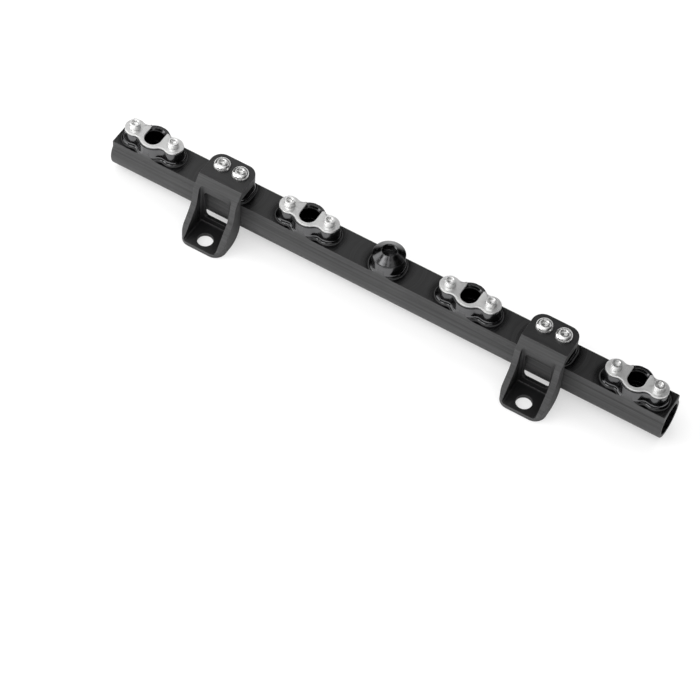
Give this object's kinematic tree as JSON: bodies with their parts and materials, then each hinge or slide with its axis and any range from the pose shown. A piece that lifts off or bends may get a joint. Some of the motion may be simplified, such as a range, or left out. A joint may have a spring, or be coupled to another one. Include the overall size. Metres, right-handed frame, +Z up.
{
  "type": "fuel rail",
  "caption": "Round-bar engine fuel rail with milled injector sockets, slotted clip plates, a plugged middle port, threaded end ports and bolted foot brackets.",
  "frame": {"origin": "midway between the two foot holes, on the flat underside of the feet", "axes": "+X along the rail, +Y from the feet towards the bar, +Z up through the foot holes, towards the injector sockets' mouths"},
  "size_m": [0.3842, 0.0494, 0.0437],
  "materials": {
    "black_anodised": "satin black hard anodising over milled aluminium",
    "black_anodised_gloss": "glossier black anodising on turned aluminium",
    "clip_steel": "satin bead-blasted stainless sheet",
    "clip_screw_steel": "satin stainless steel",
    "bright_steel": "bright stainless steel",
    "seal_rubber": "matte black fluoroelastomer"
  },
  "bodies": {
    "root": {"rail_body": "black_anodised", "port_plug": "black_anodised_gloss", "plug_o_ring": "seal_rubber", "clip_plate_1": "clip_steel", "clip_screw_1_left": "clip_screw_steel", "clip_screw_1_right": "clip_screw_steel", "clip_plate_2": "clip_steel", "clip_screw_2_left": "clip_screw_steel", "clip_screw_2_right": "clip_screw_steel", "clip_plate_3": "clip_steel", "clip_screw_3_left": "clip_screw_steel", "clip_screw_3_right": "clip_screw_steel", "clip_plate_4": "clip_steel", "clip_screw_4_left": "clip_screw_steel", "clip_screw_4_right": "clip_screw_steel", "bracket_1": "black_anodised", "bracket_screw_1_left": "bright_steel", "bracket_screw_1_right": "bright_steel", "bracket_2": "black_anodised", "bracket_screw_2_left": "bright_steel", "bracket_screw_2_right": "bright_steel"}
  },
  "joints": []
}
